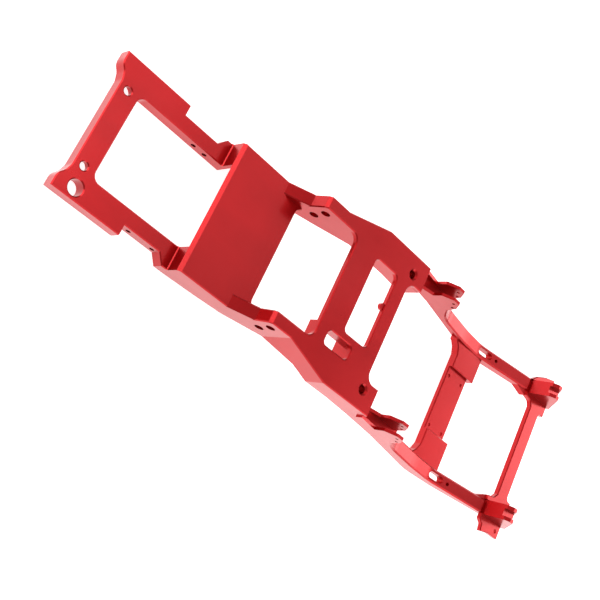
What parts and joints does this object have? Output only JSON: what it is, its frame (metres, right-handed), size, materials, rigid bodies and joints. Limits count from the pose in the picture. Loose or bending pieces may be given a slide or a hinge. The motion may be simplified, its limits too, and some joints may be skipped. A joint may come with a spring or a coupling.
{
  "type": "crawler ladder chassis frame",
  "caption": "Bare red anodised aluminium ladder frame with rear end plate, battery deck, raised centre plate, shock prongs, servo plate and front cross bar.",
  "frame": {"origin": "centre of the frame's footprint, on the plane of its lowest face", "axes": "+X towards the front (fork and servo plate end), +Y to the left side, +Z out of the side that the picture shows"},
  "size_m": [0.194, 0.0616, 0.0239],
  "materials": {
    "anodised_red": "bead blasted and anodised red, satin, bright milled chamfers"
  },
  "bodies": {
    "root": {"rear_end_plate": "anodised_red", "rear_arm_right": "anodised_red", "rear_arm_left": "anodised_red", "deck_riser_right": "anodised_red", "deck_riser_left": "anodised_red", "deck_rail_right": "anodised_red", "deck_rail_left": "anodised_red", "battery_deck": "anodised_red", "link_mount_right": "anodised_red", "link_mount_left": "anodised_red", "centre_plate": "anodised_red", "centre_rail_right": "anodised_red", "centre_rail_left": "anodised_red", "slot_boss": "anodised_red", "wire_peg": "anodised_red", "front_rail_right": "anodised_red", "front_rail_left": "anodised_red", "shock_prong_inner_right": "anodised_red", "shock_prong_inner_left": "anodised_red", "shock_prong_outer_right": "anodised_red", "shock_prong_outer_left": "anodised_red", "servo_plate": "anodised_red", "front_cross_bar": "anodised_red", "front_post_right": "anodised_red", "front_post_left": "anodised_red", "bumper_tab_right": "anodised_red", "bumper_tab_left": "anodised_red"}
  },
  "joints": []
}
